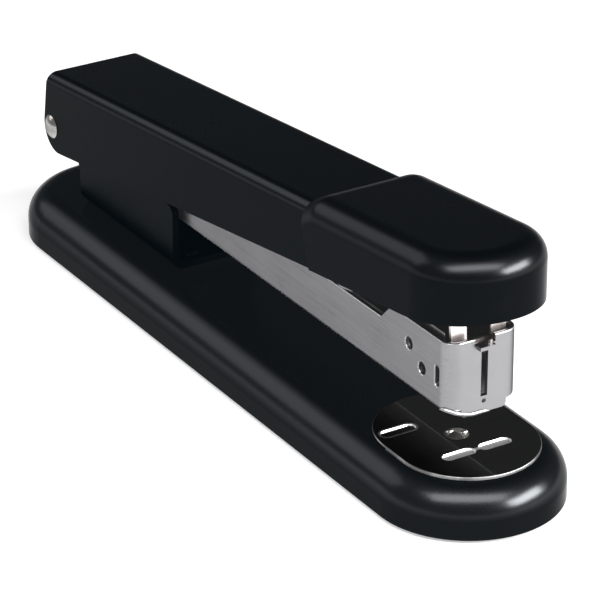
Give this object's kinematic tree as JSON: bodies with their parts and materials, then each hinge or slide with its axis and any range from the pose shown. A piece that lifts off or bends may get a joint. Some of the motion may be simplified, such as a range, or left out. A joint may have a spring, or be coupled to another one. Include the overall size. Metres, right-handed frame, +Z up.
{
  "type": "desk stapler",
  "caption": "Full-strip desk stapler with a round-ended base, turning anvil, hinged nickelled magazine and a channel handle with a moulded front cap.",
  "frame": {"origin": "on the desk, under the middle of the base", "axes": "+X towards the stapling end, +Y across the base, +Z up"},
  "size_m": [0.19, 0.0414, 0.0603],
  "materials": {
    "black_paint": "semi-gloss black stove enamel",
    "cap_plastic": "semi-gloss black moulding",
    "button_plastic": "matt black moulding",
    "pad_rubber": "matt black rubber",
    "bright_plate": "bright nickel plate",
    "nickel_steel": "satin nickel plate",
    "spring_steel": "tempered spring steel",
    "rivet_steel": "bright zinc plate"
  },
  "bodies": {
    "base": {"base_shell": "black_paint", "base_pad": "pad_rubber", "hinge_bracket": "black_paint", "bracket_rivets": "rivet_steel", "lifter_spring": "spring_steel", "anvil_spring": "spring_steel"},
    "anvil_release": {"anvil_stud": "bright_plate", "anvil_button": "button_plastic"},
    "anvil": {"anvil_plate": "bright_plate"},
    "magazine": {"magazine_channel": "nickel_steel", "staple_rail": "nickel_steel", "rail_rivets": "rivet_steel", "guide_rod": "rivet_steel", "rod_stop": "nickel_steel", "pusher_spring": "spring_steel"},
    "pusher": {"pusher": "nickel_steel"},
    "handle": {"handle_channel": "black_paint", "front_cap": "cap_plastic", "pivot_pin": "rivet_steel", "driver_blade": "spring_steel", "driver_rivets": "rivet_steel", "return_spring": "spring_steel"}
  },
  "joints": [
    {"name": "magazine_swing", "type": "hinge", "parent": "base", "child": "magazine", "pos_m": [-0.0816, 0, 0.0271], "axis": [0, -1, 0], "range_deg": [-2.5, 80], "stiffness_Nm_per_rad": 3, "springref_deg": 2.58, "deforming": ["lifter_spring"]},
    {"name": "handle_swing", "type": "hinge", "parent": "magazine", "child": "handle", "pos_m": [-0.0816, 0, 0.0271], "axis": [0, -1, 0], "range_deg": [-4.5, 75], "stiffness_Nm_per_rad": 3, "springref_deg": 1.15, "deforming": ["return_spring"]},
    {"name": "pusher_slide", "type": "slide", "parent": "magazine", "child": "pusher", "axis": [1, 0, 0], "range_m": [-0.11, 0], "stiffness_N_per_m": 15, "springref_m": 0.05, "deforming": ["pusher_spring"]},
    {"name": "anvil_lift", "type": "slide", "parent": "base", "child": "anvil_release", "axis": [0, 0, 1], "range_m": [0, 0.001], "stiffness_N_per_m": 800, "springref_m": -0.002, "deforming": ["anvil_spring"]},
    {"name": "anvil_turn", "type": "hinge", "parent": "anvil_release", "child": "anvil", "pos_m": [0.0705, 0, 0.0116], "axis": [0, 0, 1], "range_deg": [0, 180]}
  ]
}
